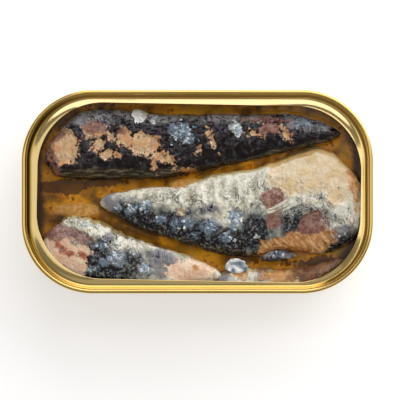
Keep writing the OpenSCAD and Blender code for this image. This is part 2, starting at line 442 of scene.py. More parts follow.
class Skin(Finish):
    """Wet fish: layers of skin and bare flesh, each held to its field on the mesh."""

    def __init__(self, name):
        super().__init__(name, Coat_Roughness=0.06, Coat_IOR=1.45, Specular_IOR_Level=0.0)
        self.coarse = self.noise(0.35, 5.0, roughness=0.6)
        self.fine = self.noise(1.1, 3.0, roughness=0.6)
        self.grain = self.noise(2.4, 2.0)
        self.mottle = self.fine * 0.6 + self.grain * 0.4
        self.tongues = self.noise(0.6, 2.0, self.stretch((1.0, 0.3, 1.0)), warp=0.5)
        self.wear = (self.coarse - 0.5) * 5 + (self.fine - 0.5) * 3
        # How lit each point is painted: lighter on the ridges of its folds, in streaks
        self.lit = self.field("ridge") + (self.tongues - 0.5) * 1.4
        folds = self.noise(0.24, 4.0, self.stretch((1.0, 0.6, 1.0)), roughness=0.55, warp=1.4)
        contour = (folds * 8.0).fraction()
        crumpled = self.noise(0.3, 2.0).between(0.4, 0.55) * self.field("wrinkled")
        # Thin crease lines; the finishes paint them dark, as shade in the creases, with a painted
        # highlight along one side of each
        self.wrinkle = (1 - abs(contour - 0.5).between(0.05, 0.20)) * crumpled
        self.fold_highlight = (1 - abs(contour - 0.74).between(0.06, 0.20)) * crumpled

    def layer(self, field, edge=0.25, worn=1.0, shift=0.0):
        """How far a layer shows: all of it inside its field, out to a worn outline."""
        return (self.field(field) + self.wear * worn + shift).between(-edge, edge)

    def belly(self):
        """Silver skin, painted lighter on its ridges and greyer in its hollows, crossed by thin
        wrinkles painted dark as shade, each with a painted highlight beside it.
        """
        bright = self.lit + (self.grain - 0.5) * 0.7
        silver = self.mix(SILVER_SHADED, SILVER, bright.between(0.0, 0.5))
        white = self.lit + (self.fine - 0.5) * 1.6
        silver = self.mix(silver, SILVER_WHITE, white.between(0.5, 0.85))
        silver = self.mix(silver, SILVER_GOLD, self.coarse.between(0.52, 0.68) * 0.5)
        # Painted highlight beside each wrinkle, and painted shade in it
        silver = self.mix(silver, SILVER_WHITE, self.fold_highlight * 0.8)
        silver = self.mix(silver, NAVY_SKIN, self.wrinkle * 0.75)
        dusk = (self.field("dark") + self.wear * 0.6 + 1.2).between(-1.2, 1.4)
        return self.mix(silver, DUSK, dusk * (0.95 - self.fold_highlight * 0.4))

    def back(self, colour, speckle):
        """Blue-black skin, mottled, wrinkled and speckled, torn at its edge."""
        dark = self.mix(BLACK_SKIN, NAVY_SKIN, self.coarse.between(0.4, 0.6))
        streaky = self.mottle + (self.tongues - 0.5) * 0.8 + (self.coarse - 0.5) * 0.5
        dark = self.mix(dark, SLATE, streaky.between(0.54, 0.70))
        # Painted shade in the wrinkles
        dark = self.mix(dark, BLACK_SKIN, self.wrinkle * 0.8)
        dull = self.mix(BLUE, SILVER_DULL, self.coarse.between(0.4, 0.6))
        speckles = (self.fine * 0.75 + self.grain * 0.25).between(0.50, 0.60) * speckle
        dark = self.mix(dark, dull, speckles)
        torn = self.field("dark") + self.wear * 1.1 + (self.tongues - 0.5) * 2.5
        return self.mix(colour, dark, torn.between(-0.5, 0.5))

    def shoulders(self, colour):
        """Grey skin, which also stands for the painted sheen along the back fish's top, lighter on its
        ridges and painted dark in its wrinkles; and blue where scales are left.
        """
        slate = self.mix(SLATE, SLATE_PALE, (self.lit * 0.5 + self.mottle).between(0.5, 0.8))
        # Painted shade in the wrinkles
        slate = self.mix(slate, BLACK_SKIN, (self.wrinkle * 1.6).least(1.0) * 0.95)
        colour = self.mix(colour, slate, self.layer("sheen", 0.8, 0.8))
        blue = self.mix(BLUE, BLUE_PALE, self.mottle.between(0.45, 0.62))
        blue = self.mix(blue, NAVY_SKIN, (self.coarse + self.fine * 0.6).between(0.82, 0.92))
        return self.mix(colour, blue, self.layer("blue", 0.5, 0.9) * 0.85)

    def flank(self, colour):
        """Olive strip low on the side."""
        streaks = self.noise(0.9, 4.0, self.stretch((0.25, 1.3, 1.0)))
        olive = self.mix(OLIVE, OLIVE_PALE, streaks.between(0.45, 0.65))
        return self.mix(colour, olive, self.layer("olive", 0.8, 0.5))

    def bare_flesh(self, colour, flesh, flesh_pale, soft):
        """Flesh where the skin is gone, with a browner edge. A soft one is smoother."""
        colour = self.mix(colour, BRICK, self.layer("flesh", 0.25, 1.0, 0.3) * (0.75 - soft))
        meat = self.mix(flesh, flesh_pale, self.noise(0.3, 3.0).between(0.38, 0.62))
        brown = (self.fine * 0.7 + self.coarse * 0.3).between(0.53, 0.7)
        meat = self.mix(meat, FIBRE, brown * (0.6 - soft * 0.6))
        rosy = (self.grain * 0.4 + self.coarse * 0.6).between(0.52, 0.64)
        meat = self.mix(meat, ROSE, rosy * (0.6 - soft * 0.7))
        lacy = self.field("flesh") + self.wear + (self.fine - 0.5) * (3.5 - soft * 4)
        return self.mix(colour, meat, lacy.between(-soft, soft))

    def bruised(self, colour):
        """Dark rose patches on the flesh."""
        bruise = self.mix(MAUVE, ROSE, (self.fine + (self.coarse - 0.5)).between(0.42, 0.62))
        return self.mix(colour, bruise, self.layer("bruise", 0.5, 0.8) * 0.9)

    def fibrous(self, colour):
        """Strands of cooked flesh that lean across the fish."""
        leaning = self.node(
            "ShaderNodeVectorRotate", {"rotation_type": "Z_AXIS"}, Vector=self.place, Angle=0.9
        )
        strands = self.noise(0.9, 3.0, self.stretch((0.35, 1.6, 1.0), leaning), warp=0.4)
        fibre = self.mix(FIBRE, FIBRE_PALE, strands.between(0.46, 0.66))
        fibre = self.mix(fibre, BRICK, (1 - strands).between(0.55, 0.7) * 0.8)
        return self.mix(colour, fibre, self.layer("fibre", 0.5, 0.9))

    def membrane(self, colour):
        """Torn white membrane, drawn out in threads."""
        threads = self.noise(0.5, 2.0, self.stretch((0.7, 1.3, 1.0)), warp=1.0)
        thread = 1 - abs((threads * 9.0).fraction() - 0.5).between(0.04, 0.2)
        return self.mix(colour, SILVER_WHITE, self.layer("veil", 0.6, 0.6) * thread * 0.9)

    def bloody(self, colour, blood):
        """Dark red flesh along the bone."""
        red = self.mix(BRICK, blood, (self.fine + (self.grain - 0.5) * 0.5).between(0.40, 0.60))
        return self.mix(colour, red, self.layer("red", 0.4, 0.6) * 0.95)


def sardine(name, flesh=PEACH, flesh_pale=CREAM, soft=0.25, speckle=0.0, blood=ROSE):
    """A sardine's layers, from its belly skin up to the brightest flakes of silver."""
    finish = Skin(name)
    colour = finish.back(finish.belly(), speckle)
    colour = finish.flank(finish.shoulders(colour))
    colour = finish.bare_flesh(colour, flesh, flesh_pale, soft)
    colour = finish.fibrous(finish.bruised(colour))
    colour = finish.bloody(finish.membrane(colour), blood)
    # Glints: flakes of silver skin, painted near white as a painted highlight
    bright = finish.mix(GLINT, WHITE_GLINT, finish.mottle.between(0.48, 0.6))
    glint = finish.layer("glint", 0.2, 1.0)
    colour = finish.mix(colour, bright, glint)

    # What lies under the oil takes its colour, and no longer shines
    sunk = finish.field("sunk")
    colour = finish.mix(colour, OIL_STAIN, sunk, "MULTIPLY")
    relief = finish.coarse * 0.3 + finish.fine * 0.35 + finish.grain * 0.1
    finish.bump(relief + (1 - finish.wrinkle) * 0.25, 1.1, 1.0)
    return finish.use(
        Base_Color=colour,
        Metallic=glint * 0.3,
        Roughness=0.35 + finish.fine * 0.3,
        Coat_Weight=(0.6 + finish.coarse * 0.6) * (1 - sunk),
    )


def scale_silver(name):
    """Loose scales, from blue-grey to nearly white."""
    finish = Finish(name, Coat_Roughness=0.05, Coat_IOR=1.45)
    tint = finish.field("tint")
    fine = finish.noise(1.5, 3.0)
    colour = finish.mix(TEAL, BLUE_PALE, (tint + fine - 0.5).between(0.1, 0.6))
    colour = finish.mix(colour, WHITE_GLINT, (tint + fine - 0.5).between(0.6, 0.95))
    finish.bump(fine, 0.5, 0.8)
    return finish.use(
        Base_Color=colour, Metallic=0.2 + fine * 0.3, Roughness=0.25 + fine * 0.2,
        Coat_Weight=0.5 + fine * 0.5,
    )


def membrane_white(name):
    """Loose threads of membrane, wet and nearly white."""
    finish = Finish(name, Coat_Roughness=0.08, Coat_IOR=1.45)
    fine = finish.noise(1.2, 3.0)
    colour = finish.mix(SILVER, SILVER_WHITE, fine.between(0.35, 0.55))
    return finish.use(Base_Color=colour, Roughness=0.3 + fine * 0.3, Coat_Weight=0.4 + fine * 0.4)


def clear_oil(name):
    """A thin see-through surface: a mirror at a glance, amber to look through."""
    finish = Finish(name)
    through = finish.node("ShaderNodeBsdfTransparent", {}, Color=OIL_CLEAR)
    ripple = finish.noise(0.25, 2.0)
    normal = finish.node("ShaderNodeBump", {}, Strength=0.3, Distance=0.2 * MM, Height=ripple)
    gloss = finish.node(
        "ShaderNodeBsdfGlossy", {}, Color=OIL_GLOSS, Roughness=0.03, Normal=normal
    )
    edge = finish.node("ShaderNodeFresnel", {}, IOR=1.47, Normal=normal)
    shader = finish.node("ShaderNodeMixShader", {}, edge * 0.45, through, gloss)
    finish.set(finish.output.inputs["Surface"], shader)
    finish.tree.nodes.remove(finish.shader)
    return finish.material


def sunken_flesh(name):
    """Fish deep in the oil: peach where it comes up, amber and dark scraps below."""
    finish = Finish(name, Specular_IOR_Level=0.0)
    cloud = finish.noise(0.14, 3.0, roughness=0.5)
    fine = finish.noise(0.9, 3.0, roughness=0.5)
    sunk = finish.field("sunk")
    amber = finish.mix(AMBER_DARK, AMBER, cloud.between(0.36, 0.66))
    wash = finish.noise(0.09, 2.0)
    amber = finish.mix(amber, AMBER_PALE, wash.between(0.5, 0.64) * 0.7)
    shallow = finish.mix(TAN, TAN_PALE, fine.between(0.4, 0.6))
    colour = finish.mix(shallow, amber, (sunk + (fine - 0.5) * 0.5).between(0.2, 0.65))
    scraps = fine * 0.4 + cloud * 0.6 + (finish.field("scraps") - 0.3) * 0.2
    scraps = scraps.between(0.5, 0.6) * sunk.between(0.4, 0.7)
    colour = finish.mix(colour, UMBER, scraps * 0.85)
    # Painted shade: the deepest parts, beside the wall under the ledge, darker than the oil alone would
    # make them
    deep = (sunk + (cloud - 0.5) * 0.1).between(0.93, 1.0)
    colour = finish.mix(colour, AMBER_DEEP_SHADE, deep * 0.85)
    finish.bump(fine, 0.3, 0.5)
    return finish.use(Base_Color=colour, Roughness=0.5 + fine * 0.2)


def studio_floor(name):
    """A white sweep, lit from below as well."""
    finish = Finish(name, Emission_Strength=0.58)
    grain = finish.noise(0.02, 3.0)
    colour = finish.mix((0.84, 0.84, 0.84), (0.87, 0.87, 0.87), grain)
    return finish.use(Base_Color=colour, Emission_Color=colour, Roughness=0.65 + grain * 0.1)


# ---- Tin -------------------------------------------------

def torn_edge(path, out):
    """How far in from the tin's side the edge left by the lid lies, all the way round."""
    low, high = np.full(len(path), LEDGE_START), np.full(len(path), FARTHEST_EDGE)
    for _ in range(30):
        middle = (low + high) / 2
        reached = inside_opening(path - out * middle[:, None]) > 0
        low, high = np.where(reached, low, middle), np.where(reached, middle, high)
    return (low + high) / 2


def ring_profile(edge, waver):
    """The ring's section as (distance inwards, height), out to an edge that isn't even."""
    top = LEDGE - RIM_TOP

    def climb(inwards):
        share = np.clip((inwards - LEDGE_START) / LEDGE_RUN, 0, 1)
        return top - LEDGE_RISE * (1 - share) + waver * share

    fillet = (LEDGE_START, top - LEDGE_RISE + FILLET)
    profile = arc((SEAM_HEM, SEAM_HEM - SEAM_DEPTH), SEAM_HEM, 270, 180, 5)
    profile += arc((SEAM / 2, -SEAM / 2), SEAM / 2, 180, 0, 18)
    profile += arc(fillet, FILLET, 180, 270, 10)
    for share in (0.25, 0.5, 0.75, 1):
        inwards = LEDGE_START + (edge - CUT_ROUND - LEDGE_START) * share
        profile.append((inwards, climb(inwards)))
    profile.append((edge, climb(edge) - CUT_DROP))
    profile.append((edge, climb(edge) - SHEET))
    profile += arc(fillet, FILLET + SHEET, 270, 180, 8)
    profile.append((CHUCK_FOOT - SHEET, -SEAM_DEPTH))
    return [(inwards, RIM_TOP + height) for inwards, height in profile]


def lid_ring():
    """Double seam, chuck wall and ledge, out to the edge where the lid came away."""
    path, out = path_round(TIN_LENGTH, TIN_WIDTH, CORNER)
    waver = 0.03 * lumps(at_height(path), 9.0)
    profile = ring_profile(torn_edge(path, out), waver)
    ring = sweep("lid_rim", path, out, profile)

    # Painted shade darkens the chuck wall at one end of the tin, and a painted highlight makes the
    # ledge paler than the rest
    depth = np.concatenate([np.broadcast_to(inwards, len(path)) for inwards, _ in profile])
    chuck_wall = ease(depth, SEAM - 0.5, SEAM - 0.1)
    chuck_wall *= 1 - ease(depth, LEDGE_START - 0.1, LEDGE_START + 0.15)
    shaded = np.tile(ease(-out[:, 0], 0.1, 0.9), len(profile))
    set_field(ring.data, "groove_shade", chuck_wall * shaded)
    set_field(ring.data, "ledge", ease(depth, LEDGE_START - 0.2, LEDGE_START + 0.4))
    return ring


def tin_body():
    """Drawn wall, foot and base panel of thin sheet."""
    path, out = path_round(TIN_LENGTH, TIN_WIDTH, CORNER)
    foot_end = OVERHANG + FOOT_ROUND + FOOT_FLAT
    panel = foot_end + RECESS
    round_middle = (OVERHANG + FOOT_ROUND, FOOT_ROUND)
    wall = [(OVERHANG, z) for z in np.linspace(SEAM_FOOT, FOOT_ROUND, 6)[:-1]]
    profile = [(panel + PANEL_RUN, RECESS), (panel, RECESS - PANEL_EASE), (foot_end, 0)]
    profile += arc(round_middle, FOOT_ROUND, 270, 180, 10)
    profile += wall[::-1]
    profile += [(inwards + SHEET, z) for inwards, z in wall]
    profile += arc(round_middle, FOOT_ROUND - SHEET, 180, 270, 10)
    profile.append((foot_end - FOOT_SLOPE, SHEET))
    profile.append((panel - FOOT_SLOPE, RECESS + SHEET - PANEL_EASE))
    profile.append((panel + PANEL_RUN, RECESS + SHEET))
    return sweep("tin_wall", path, out, profile, caps=True)


# ---- Fish ------------------------------------------------

LAYERS = (
    "dark", "sheen", "blue", "olive", "flesh", "bruise", "red", "fibre", "veil", "glint",
    "wrinkled",
)

# Ovals that each layer of a fish covers: (along, across, half length, half width, turn)
BACK_PLACES = {
    "dark": [(0, 14, 60, 30, 0)],
    # On the back fish the grey along its top is a painted sheen
    "sheen": [
        (-34, 22.6, 8, 3.2, -8), (-14, 23.4, 14, 2.2, 0), (10, 22.8, 14, 1.8, 0),
        (33, 20.6, 8, 2.2, -12), (-41, 19.4, 3.4, 2.4, 40),
    ],
    "blue": [(-5.5, 18.6, 3.4, 2.6, 0), (-3, 16.2, 2, 1.4, 30), (32, 20.6, 4.4, 1.1, -10)],
    "olive": [(-27, 5.6, 20, 1.4, -1), (-6, 6.2, 8, 1.2, 4), (22, 11.6, 14, 0.3, 14)],
    "flesh": [
        (-40.6, 13.6, 5.2, 5.4, -15), (-44, 17, 1.8, 2.6, 0), (-30.8, 18.4, 3.2, 2.4, 0),
        (-29.6, 14.4, 1.6, 3, 0), (-26.4, 11.2, 2.8, 1.3, 0), (-26.2, 17.2, 0.9, 1.4, 0),
        (-21.6, 15.6, 2.4, 3.2, 0), (-16, 14.2, 4.8, 3.2, -12), (-11.6, 11, 3, 1.3, -25),
        (-12.8, 8.6, 0.7, 2.2, 12), (-8, 9, 0.7, 2.6, 28), (0.5, 13, 1.1, 1.1, 0),
        (4.1, 15.8, 0.8, 2.2, 20), (17, 17.7, 1.6, 0.8, 0), (26.4, 17.2, 1.1, 1.9, 20),
        (-3.2, 6.6, 2, 0.9, 15),
    ],
    "bruise": [
        (-44.4, 11, 1.8, 5, 10), (-30.4, 19.6, 3.6, 1.8, 0), (22, 21.6, 6, 1.1, 0),
        (-41.5, 16.8, 3, 1.3, 20),
    ],
    "red": [
        (21.6, 18.9, 3.2, 1.4, 0), (-32, 17.8, 1.6, 0.9, 0), (-42.6, 5.6, 1.8, 1.6, 0),
        (-22.6, 18, 1.6, 0.7, 0), (0.3, 13, 0.8, 0.8, 0),
    ],
    "glint": [
        (-13.6, 21.8, 1.2, 0.7, 0), (11.3, 19.2, 1.3, 1.9, 20), (-5, 18, 1.2, 0.8, 0),
    ],
    "wrinkled": [(0, 14, 60, 30, 0)],
}
MIDDLE_PLACES = {
    "dark": [
        (-18, -8, 8, 4.4, -19), (-8, -11, 8, 5, -17), (2, -14, 8, 5, -16),
        (10.5, -15.4, 5, 5, 0), (17.4, -12.8, 4.2, 6, -4),
        (9, -20, 9, 3, -5), (26.4, -9, 1.8, 4, 0),
        (29.4, -8.8, 1.8, 4.4, 0), (34, -5.8, 4.4, 1.2, -20), (43, -15, 5, 3.4, 20),
        (-3.4, -6.4, 2, 1, 0), (31.5, -8.6, 0.7, 3, 10), (22.6, -12, 0.8, 2.6, 0),
    ],
    "sheen": [(3, -5.4, 3, 1.6, 0), (42, -12.4, 4.4, 1.6, 20), (-26, -3, 3, 2.2, -30)],
    "blue": [
        (-20, -5.2, 1.8, 1.3, 0), (-16, -4.4, 2.6, 1.4, 10), (-11, -8, 1.8, 1.2, 0),
        (-3, -9, 2.2, 1.4, 0), (11.2, -8.4, 2, 3.2, 0), (8.6, -13.6, 1.8, 1.6, 0),
        (3.4, -10.6, 2.4, 2.2, 0), (-1, -13, 1.6, 1, 0),
        (-7, -9.8, 1.8, 1.4, 0), (-24, -4.6, 1.4, 1, 0),
    ],
    "flesh": [
        (34, 6.4, 13, 6.8, 18), (42.5, 5, 6, 8.5, 0), (25, 8, 4.6, 2.4, 35),
        (-5, -6, 1, 0.9, 0),
    ],
    "bruise": [
        (35, -9.6, 4.6, 3.9, 10), (23.4, -8, 1.6, 3.4, 0), (31, -12.6, 6, 1.4, 10),
    ],
    "red": [(22.8, -2.2, 3.5, 4.3, -20), (22, -8.6, 1.8, 2.4, 0), (34.4, -11.6, 3, 1.2, 10)],
    "fibre": [
        (23.4, -16.2, 5, 2.2, 10), (30, -16, 8, 3.4, 6), (37.4, -14.4, 4, 2.8, 20),
        (47.2, 4, 1.7, 9, 6), (-5, 2.4, 4, 1.2, 15), (27, -19, 8, 2, 6),
    ],
    "veil": [(31, -3.4, 9, 3, 20), (20, -3, 3, 4, 0), (42, -7, 5, 3, 20)],
    "glint": [
        (-19.8, -5, 0.8, 0.6, 0), (-15.6, -4.2, 1.1, 0.6, 0), (11.6, -8.6, 0.8, 1.6, 0),
        (-23.4, -4.2, 0.7, 0.6, 0), (18, -13.5, 0.5, 0.5, 0),
    ],
    "wrinkled": [(26, -2, 20, 7, 0), (-5, -3, 20, 4, 0), (42, -9, 6, 7, 0)],
}
FRONT_PLACES = {
    "dark": [
        (-30.5, -19.4, 4.6, 4.6, 0), (-25, -23.4, 8, 2.2, -4), (-20, -20.4, 2.6, 1.6, -14),
        (-30, -26, 10, 2.2, -2), (-17.4, -20.6, 1.2, 1.6, 0),
    ],
    "sheen": [
        (-10.4, -20.6, 5.6, 3.2, -14), (-10.6, -23.6, 3, 3, 0), (-26.6, -14.2, 1.9, 1.8, 0),
    ],
    "blue": [
        (-24, -20, 2.6, 2.4, 0), (-30, -16, 2.4, 1.2, -20), (-15.6, -23.5, 2.1, 2, 0),
        (-31.4, -23.3, 1.4, 1, 0), (-27.8, -21, 1.6, 1.4, 0),
    ],
    "flesh": [
        (-42, -17, 5.6, 4.8, -40), (-37, -20.4, 5, 4.6, -25), (-34.6, -17.6, 2.6, 2.2, 0),
        (-1.6, -23.8, 7.6, 4, -6),
    ],
    "bruise": [
        (-43, -11.4, 4, 3.4, -40), (-36.6, -12.9, 5, 1.9, -20), (-33, -15, 2.2, 1.2, -30),
    ],
    "red": [(-40.6, -16.6, 2.2, 0.9, -30), (-37.6, -18.4, 2, 0.8, -20), (-34, -19.2, 1.6, 0.9, -30)],
    "fibre": [(-0.8, -22.3, 1.3, 1, 0)],
    "glint": [(-34.6, -9.6, 1.8, 0.5, -14), (-24, -20, 1.4, 1.2, 0), (-15.6, -23.6, 1, 1, 0)],
    "wrinkled": [(-28, -14, 20, 6, -15)],
}
LOWER_PLACES = {
    "sheen": [(7, -25, 3.2, 3, 0), (20, -25, 2.2, 2.4, 0), (33, -24.6, 3.4, 3, 0)],
    "flesh": [(25, -25.4, 5.4, 2.6, 0), (13, -24.6, 2.4, 2, 0)],
    "bruise": [(39, -23.4, 11, 5, 8)],
}
BROKEN_PLACES = {
    "dark": [(24.5, -19.3, 7, 3, 0)],
    "sheen": [(21.6, -18.8, 2, 0.9, 0), (27, -19.6, 2, 0.8, 0)],
    "blue": [(24, -19, 1.4, 0.8, 0)],
}


def cover(points, places):
    """How far in mm each point lies inside the nearest of some ovals."""
    best = np.full(len(points), -3.0)
    for x, y, along, across, turn in places:
        c, s = math.cos(math.radians(turn)), math.sin(math.radians(turn))
        dx, dy = points[:, 0] - x, points[:, 1] - y
        reach = np.hypot((dx * c + dy * s) / along, (dy * c - dx * s) / across)
        best = np.maximum(best, (1 - reach) * min(along, across))
    return np.clip(best, -3, 3)


def fine_net(node, spacing):
    """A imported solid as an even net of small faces, without its flat facets."""
    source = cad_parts[node]
    mesh = source.data.copy()
    mesh.transform(source.matrix_world)
    co = np.empty(len(mesh.vertices) * 3)
    mesh.vertices.foreach_get("co", co)
    mesh.vertices.foreach_set("co", co / MM)
    rough_piece = add_object(node + "_net", mesh)
    net = rough_piece.modifiers.new("net", "REMESH")
    net.mode, net.voxel_size = "VOXEL", spacing
    smooth = rough_piece.modifiers.new("smooth", "SMOOTH")
    smooth.iterations, smooth.factor = 14, 0.7
    evaluated = rough_piece.evaluated_get(bpy.context.evaluated_depsgraph_get())
    result = bpy.data.meshes.new_from_object(evaluated)
    bpy.data.objects.remove(rough_piece)
    points = np.empty(len(result.vertices) * 3)
    result.vertices.foreach_get("co", points)
    normals = np.empty(len(result.vertices) * 3)
    result.vertex_normals.foreach_get("vector", normals)
    return result, points.reshape(-1, 3), normals.reshape(-1, 3)


def flesh_relief(points, fields, fold):
    """How far in mm folds and tears lift each point, and how creased it is there."""
    torn = ease(np.maximum.reduce([fields["flesh"], fields["bruise"], fields["fibre"]]), -0.4, 0.5)
    pleat = 1 - 2 * np.abs(lumps(points * (1.0, 0.3, 1.0), 3.2, 5))
    crumple = 1 - 2 * np.abs(rough(points, 3.4, 2))
    crease = 0.7 * pleat + 0.5 * crumple
    wet = 0.35 + 0.65 * fields["wrinkled"]
    relief = fold * wet * (1 - 0.7 * torn) * crease + 0.4 * rough(points, 7.0, 1)
    relief += 0.16 * rough(points, 1.5, 7) - 0.3 * torn + 0.25 * ease(fields["glint"], 0, 0.5)
    return relief, crease


def fish(node, name, places, fold):
    """A fish with torn skin and folds, and the field of each of its layers."""
    mesh, points, normals = fine_net(node, 0.28)
    drifted = points + wander(points, 2.4, 3, 9) * 0.9
    fields = {layer: cover(drifted, places.get(layer, [])) for layer in LAYERS}
    fields["wrinkled"] = ease(fields["wrinkled"], -1, 2)
    relief, crease = flesh_relief(points, fields, fold)
    # How far each point stands up in a fold, which the finish paints lighter, and its hollows darker
    fields["ridge"] = np.clip(0.5 + 0.45 * crease, 0, 1)
    points = points + normals * relief[:, None]
    fields["sunk"] = 1 - np.exp(-np.maximum(OIL_LEVEL + 0.1 - points[:, 2], 0) / 2.2)
    mesh.vertices.foreach_set("co", (points * MM).ravel())
    mesh.polygons.foreach_set("use_smooth", [True] * len(mesh.polygons))
    for layer, values in fields.items():
        set_field(mesh, layer, values)
    mesh.name = name
    return add_object(name, mesh), points


# Where scales still cling: (along, across, half length, half width, turn, count, size)
SCALES = [
    (-17.2, 22.6, 1.2, 0.2, 0, 4, 3.8), (-15.4, 22.6, 1.0, 0.6, 0, 3, 1.3),
    (-5, 18.0, 4.4, 4.0, 0, 70, 0.62), (-3, 16.4, 2.0, 2.0, 0, 6, 0.9),
    (11.3, 19.2, 0.5, 0.9, 20, 4, 1.5),
    (-26, 21, 6, 1.6, -10, 6, 0.5), (20, 21, 16, 1.2, -8, 8, 0.5),
    (-20, -5.2, 1.6, 1.2, 0, 7, 0.9), (-16, -4.4, 2.2, 1.4, 10, 9, 1.0),
    (-11, -8, 2.0, 1.4, 0, 8, 0.8), (-3, -9.4, 2.4, 1.8, 0, 9, 0.8),
    (11.2, -8.6, 1.8, 3.2, 0, 16, 1.0), (8.6, -13.6, 1.8, 1.8, 0, 9, 0.9),
    (4, -9.6, 2.0, 2.0, 0, 9, 0.8), (-25, -19.6, 2.4, 2.0, 0, 12, 0.9),
    (-16, -23.4, 1.8, 1.6, 0, 7, 1.1), (-30, -16, 3.0, 1.6, -20, 10, 0.8),
    (-31, -23.3, 1.4, 1.0, 0, 4, 0.8), (-22, -17, 3.0, 1.6, -20, 9, 0.7),
    (24, -19.2, 3.0, 0.8, 0, 6, 0.7), (42, -6.8, 3.0, 1.2, 20, 8, 1.0),
    (43, -13, 3.0, 1.6, 20, 5, 0.5), (33, -2.5, 7.0, 2.0, 20, 10, 0.6),
]


def closest(flesh):
    """One tree over the faces of all the fish."""
    parts = [(points, [face.vertices for face in piece.data.polygons]) for piece, points in flesh]
    vertices, faces = gather(parts)
    return BVHTree.FromPolygons(vertices.tolist(), faces)


def drop(tree, x, y):
    """Where something let fall from over the tin lands on the fish, and the normal there."""
    return tree.ray_cast(Vector((x, y, RIM_TOP + 5)), Vector((0, 0, -1)))[:2]


def plate(size, draw):
    """A thin, slightly bent plate with a torn outline, round the origin."""
    around = 9
    angles = np.sort(draw.random(around)) * 2 * math.pi
    reach = size * (0.55 + 0.45 * draw.random(around))
    outline = np.column_stack([reach * np.cos(angles), 0.75 * reach * np.sin(angles)])
    rings = [outline, outline * 0.97, outline * 0.6, outline * 0.6, outline * 0.97]
    lift = [0.0, 0.05, 0.11, 0.02, -0.05]
    bend = 0.25 * (draw.random(2) - 0.5) / size
    points = [
        at_height(ring, height + (ring**2 * bend).sum(axis=1)) for ring, height in zip(rings, lift)
    ]
    points = np.concatenate([points[2], points[1], points[0], points[4], points[3]])
    faces = [list(range(around)), list(range(4 * around, 5 * around))[::-1]]
    for row in range(4):
        for i in range(around):
            a, b = row * around + i, row * around + (i + 1) % around
            faces.append([a, a + around, b + around, b])
    return points, faces


def loose_scales(tree):
    """Silver scales lying on the fish, each at its own slight tilt."""
    draw = np.random.default_rng(5)
    parts, tints = [], []
    for x, y, along, across, turn, count, size in SCALES:
        c, s = math.cos(math.radians(turn)), math.sin(math.radians(turn))
        for _ in range(count):
            u, v = draw.normal(0, 0.5, 2) * (along, across)
            hit, normal = drop(tree, x + u * c - v * s, y + u * s + v * c)
            if hit is None or hit.z < OIL_LEVEL + 0.2 or hit.z > LEDGE + 0.1:
                continue
            up = (normal + Vector(draw.normal(0, 0.12, 3))).normalized()
            turned = up.to_track_quat("Z", "X").to_matrix()
            points, sides = plate(size * draw.uniform(0.6, 1.2), draw)
            parts.append((points @ np.array(turned).T + np.array(hit + normal * 0.06), sides))
            tints.append(np.full(len(points), max(draw.random(), size / 3)))
    piece = new_piece("loose_scales", *gather(parts), sharp=60)
    set_field(piece.data, "tint", np.concatenate(tints))
    return piece


# The arc over the middle fish that threads of membrane are combed along
THREAD_ARC = np.array([(17.5, -7.2), (24, -5.4), (29.5, -2.2), (34.5, -1.4), (38.4, -5.6)])


def thread_route(draw):
    """One thread's way along a stretch of the arc."""
    begin, length = draw.uniform(0, 2.6), draw.uniform(0.9, 2.4)
    t = np.linspace(begin, min(begin + length, 4), 26)
    line = np.column_stack([np.interp(t, range(5), THREAD_ARC[:, axis]) for axis in (0, 1)])
    line = np.array([line[max(i - 3, 0):i + 4].mean(axis=0) for i in range(len(line))])
    line[:, 1] += draw.normal(0, 0.9) + 0.35 * np.sin(t * draw.uniform(1, 3))
    return line


def tube(line, heights, radius):
    """Points and faces of a closed six-sided tube, with a radius at each of its points."""
    along = np.gradient(line, axis=0)
    across = np.column_stack([-along[:, 1], along[:, 0]])
    across /= np.linalg.norm(across, axis=1)[:, None]
    points = []
    for side in np.radians(np.arange(0, 360, 60)):
        flat = line + across * (radius * math.cos(side))[:, None]
        points.append(at_height(flat, heights + radius * math.sin(side)))
    index = np.arange(6 * len(line)).reshape(6, len(line))
    faces = [index[::-1, 0].tolist(), index[:, -1].tolist()]
    for a, b in zip(index, np.roll(index, -1, axis=0)):
        faces += np.column_stack([a[:-1], b[:-1], b[1:], a[1:]]).tolist()
    return np.concatenate(points), faces


def membrane_threads(tree):
    """White threads of torn membrane, thinner towards both ends."""
    draw = np.random.default_rng(8)
    parts = []
    for _ in range(34):
        line = thread_route(draw)
        hits = [drop(tree, x, y)[0] for x, y in line]
        heights = np.array([hit.z if hit else OIL_LEVEL for hit in hits])
        taper = np.sqrt(np.sin(np.linspace(0.06, math.pi - 0.06, len(line))))
        parts.append(tube(line, heights + 0.06, draw.uniform(0.07, 0.15) * taper))
    return new_piece("membrane_threads", *gather(parts))


def flake_rings(outline):
    """Rings of points over the top of the flake, from its middle out, and back under it."""
    shares = np.linspace(1, 0.02, 14)
    rings = []
    for side, ring_shares in ((1, shares[::-1]), (-1, shares[1:])):
        for share in ring_shares:
            flat = rotate(outline * share, math.radians(-10))
            fold = 1 - 2 * np.abs(lumps(at_height(flat), 1.9, 3))
            small = lumps(at_height(flat), 0.9, 6)
            height = 0.45 * fold + 0.2 * small + side * 0.16 * (1 - share**6)
            rings.append(at_height(flat, height))
    return rings


